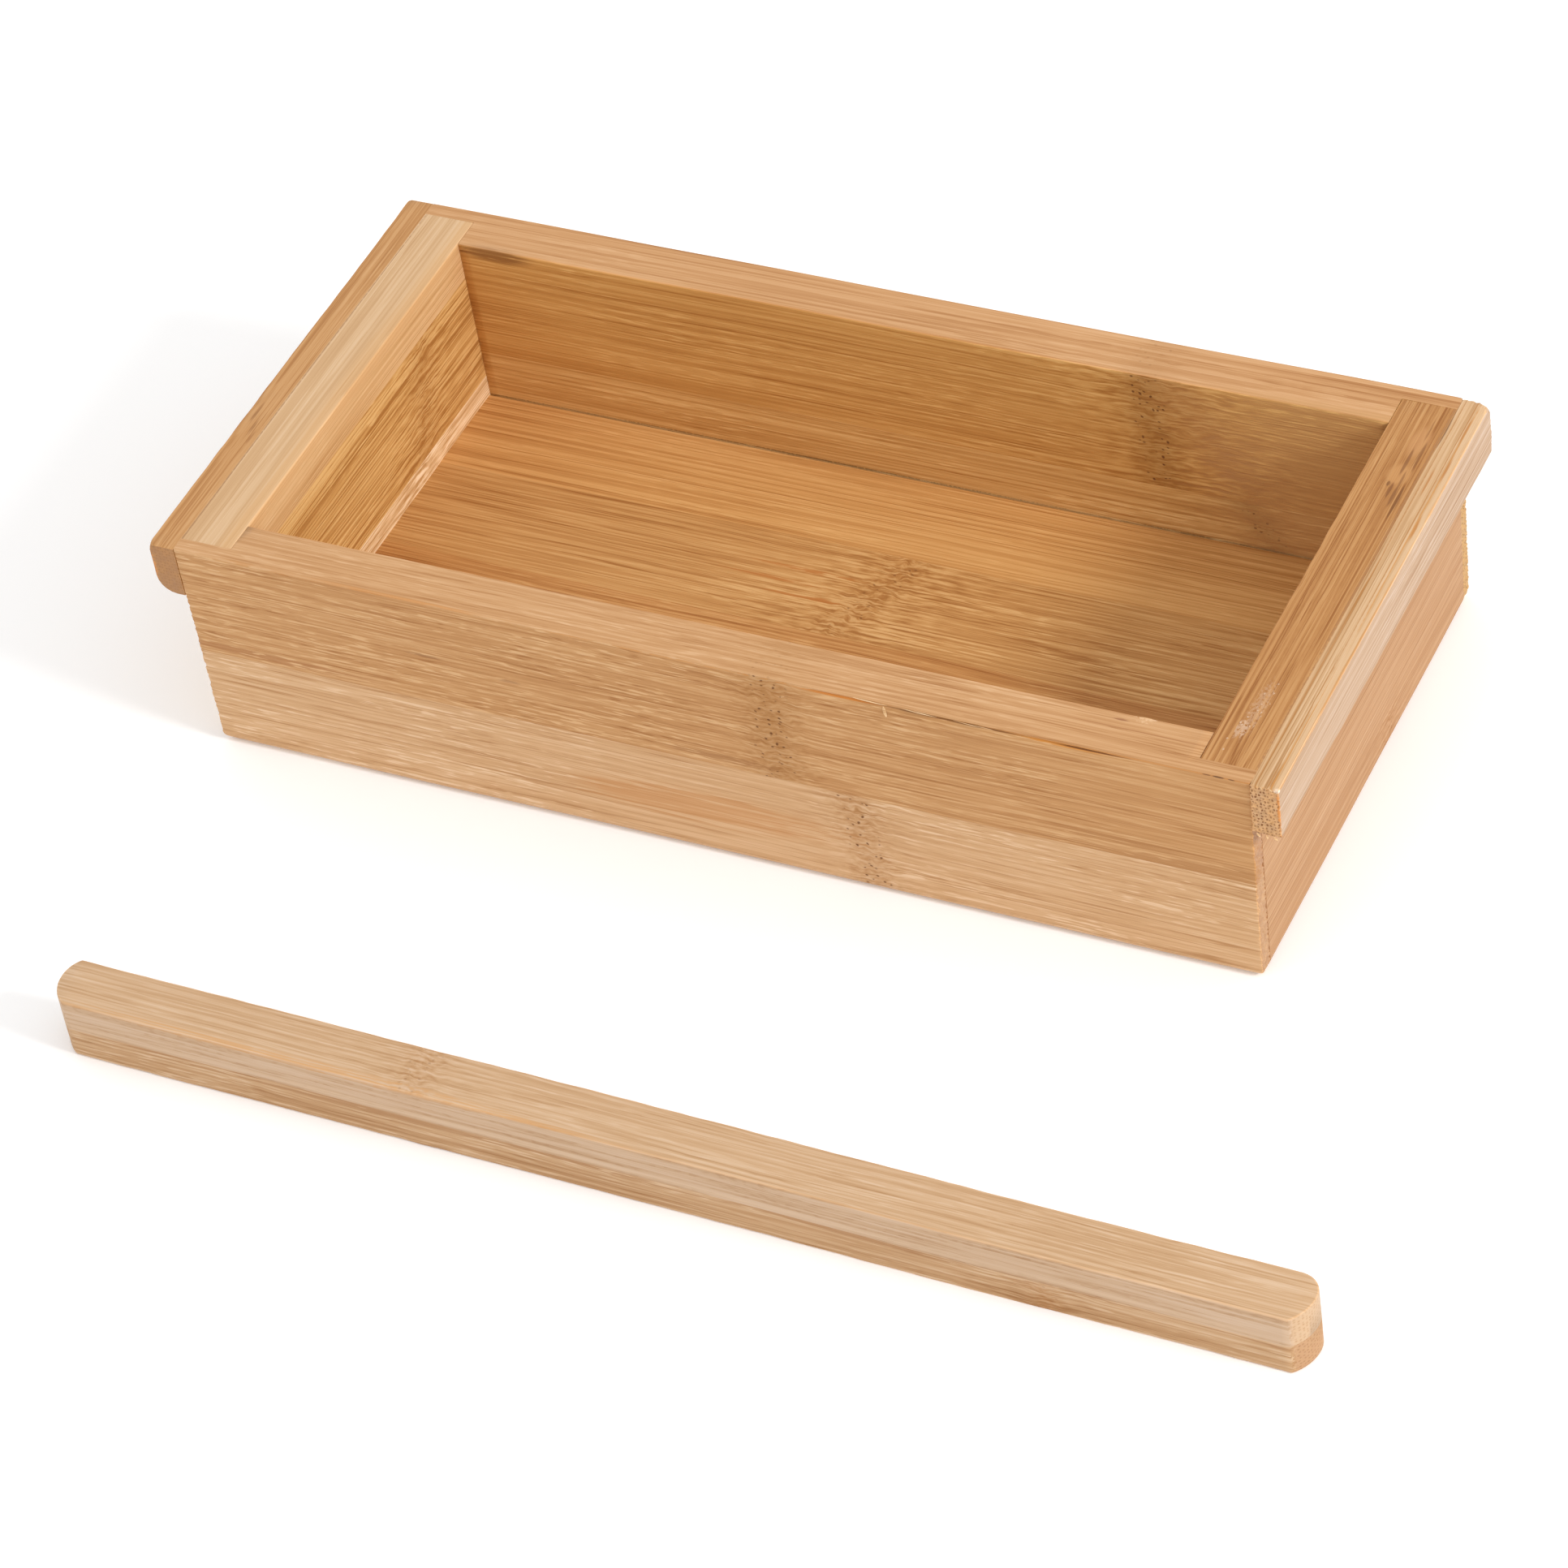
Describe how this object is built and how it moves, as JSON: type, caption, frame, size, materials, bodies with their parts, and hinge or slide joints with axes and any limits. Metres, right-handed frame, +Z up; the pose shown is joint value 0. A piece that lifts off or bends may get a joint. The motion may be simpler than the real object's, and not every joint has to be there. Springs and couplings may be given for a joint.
{
  "type": "butter mold",
  "caption": "Open rectangular bamboo butter mold box glued up from narrow strips, with a grip rail along each end and a loose round-ended leveling bar.",
  "frame": {"origin": "middle of the box's underside, on the surface that the box and the bar rest on", "axes": "+X along the box to its right end, +Y across the box away from the leveling bar, +Z up out of the open top"},
  "size_m": [0.2424, 0.1793, 0.045],
  "materials": {
    "floor_strip_back": "sanded bare bamboo, satin",
    "floor_strip_mid_back": "sanded bare bamboo, satin",
    "floor_strip_mid_front": "sanded bare bamboo, satin",
    "floor_strip_front": "sanded bare bamboo, satin",
    "front_wall_lower_strip": "sanded bare bamboo, satin",
    "front_wall_upper_strip": "sanded bare bamboo, satin",
    "back_wall_lower_strip": "sanded bare bamboo, satin",
    "back_wall_upper_strip": "sanded bare bamboo, satin",
    "left_end_bottom_strip": "sanded bare bamboo, satin",
    "left_end_middle_strip": "sanded bare bamboo, satin",
    "left_end_top_strip": "sanded bare bamboo, satin",
    "right_end_bottom_strip": "sanded bare bamboo, satin",
    "right_end_middle_strip": "sanded bare bamboo, satin",
    "right_end_top_strip": "sanded bare bamboo, satin",
    "left_grip_rail": "sanded bare bamboo, satin",
    "right_grip_rail": "sanded bare bamboo, satin",
    "leveling_bar_lower_layer": "sanded bare bamboo, satin",
    "leveling_bar_upper_layer": "sanded bare bamboo, satin"
  },
  "bodies": {
    "mold_box": {"floor_strip_back": "floor_strip_back", "floor_strip_mid_back": "floor_strip_mid_back", "floor_strip_mid_front": "floor_strip_mid_front", "floor_strip_front": "floor_strip_front", "front_wall_lower_strip": "front_wall_lower_strip", "front_wall_upper_strip": "front_wall_upper_strip", "back_wall_lower_strip": "back_wall_lower_strip", "back_wall_upper_strip": "back_wall_upper_strip", "left_end_bottom_strip": "left_end_bottom_strip", "left_end_middle_strip": "left_end_middle_strip", "left_end_top_strip": "left_end_top_strip", "right_end_bottom_strip": "right_end_bottom_strip", "right_end_middle_strip": "right_end_middle_strip", "right_end_top_strip": "right_end_top_strip", "left_grip_rail": "left_grip_rail", "right_grip_rail": "right_grip_rail"},
    "leveling_bar": {"leveling_bar_lower_layer": "leveling_bar_lower_layer", "leveling_bar_upper_layer": "leveling_bar_upper_layer"}
  },
  "joints": [
    {"name": "bar_lift", "type": "slide", "parent": "mold_box", "child": "leveling_bar", "axis": [0, 0, 1], "range_m": [0, 0.08]}
  ]
}
